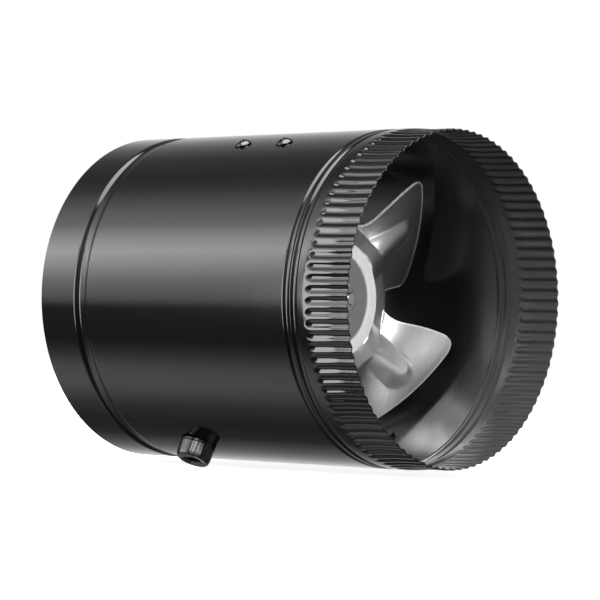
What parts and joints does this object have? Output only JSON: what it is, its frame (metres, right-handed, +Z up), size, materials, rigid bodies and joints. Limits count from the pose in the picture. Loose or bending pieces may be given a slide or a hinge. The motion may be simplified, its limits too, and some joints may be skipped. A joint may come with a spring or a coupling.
{
  "type": "inline duct fan",
  "caption": "Round inline duct booster fan: black sheet steel sleeve with one plain and one crimped end, motor on a strap bracket, stamped aluminium axial fan.",
  "frame": {"origin": "centre of the inlet mouth, on the duct's axis at the plain end's rim", "axes": "+X along the duct from the plain inlet end to the crimped outlet end, +Z up, -Y towards the side with the cord bushing and the two upper screws"},
  "size_m": [0.185, 0.1524, 0.1551],
  "materials": {
    "black_enamel": "gloss black enamel on sheet steel",
    "zinc_steel": "zinc plated",
    "black_steel": "black oxide",
    "electrical_steel": "stacked laminations, lightly oiled",
    "die_cast": "as cast",
    "fan_aluminium": "bright rolled sheet",
    "bronze": "sintered bronze",
    "copper": "enamelled copper",
    "ground_steel": "ground shaft steel",
    "black_nylon": "moulded nylon",
    "white_nylon": "moulded nylon",
    "black_rubber": "moulded rubber",
    "felt": "oiled wool felt",
    "yellow_tape": "polyester insulating tape",
    "lead_black": "PVC insulation",
    "lead_white": "PVC insulation"
  },
  "bodies": {
    "casing": {"duct_sleeve": "black_enamel", "motor_bracket": "black_enamel", "bracket_tabs": "black_enamel", "bracket_screws": "black_steel", "bracket_washers": "zinc_steel", "bracket_nuts": "zinc_steel", "bracket_grommets": "black_rubber", "stator_core": "electrical_steel", "stator_yoke": "electrical_steel", "shading_rings": "copper", "coil_bobbin": "white_nylon", "stator_coil": "copper", "coil_tape": "yellow_tape", "front_bearing": "bronze", "rear_bearing": "bronze", "front_bearing_bracket": "die_cast", "rear_bearing_bracket": "die_cast", "oil_felts": "felt", "bearing_retainers": "zinc_steel", "motor_tie_screws": "zinc_steel", "motor_tie_washers": "zinc_steel", "motor_tie_nuts": "zinc_steel", "strain_relief_bushing": "black_nylon", "strain_relief_wedge": "black_nylon", "lead_live": "lead_black", "lead_neutral": "lead_white", "lead_connectors": "white_nylon", "earth_terminal": "zinc_steel", "earth_screw": "zinc_steel"},
    "rotor": {"rotor_core": "electrical_steel", "rotor_cage": "die_cast", "motor_shaft": "ground_steel", "thrust_collars": "white_nylon", "fan_blade": "fan_aluminium", "fan_hub": "ground_steel", "hub_rivets": "fan_aluminium", "hub_set_screw": "ground_steel"}
  },
  "joints": [
    {"name": "fan_spin", "type": "hinge", "parent": "casing", "child": "rotor", "pos_m": [0.1162, 0, 0], "axis": [-1, 0, 0], "continuous": true}
  ]
}
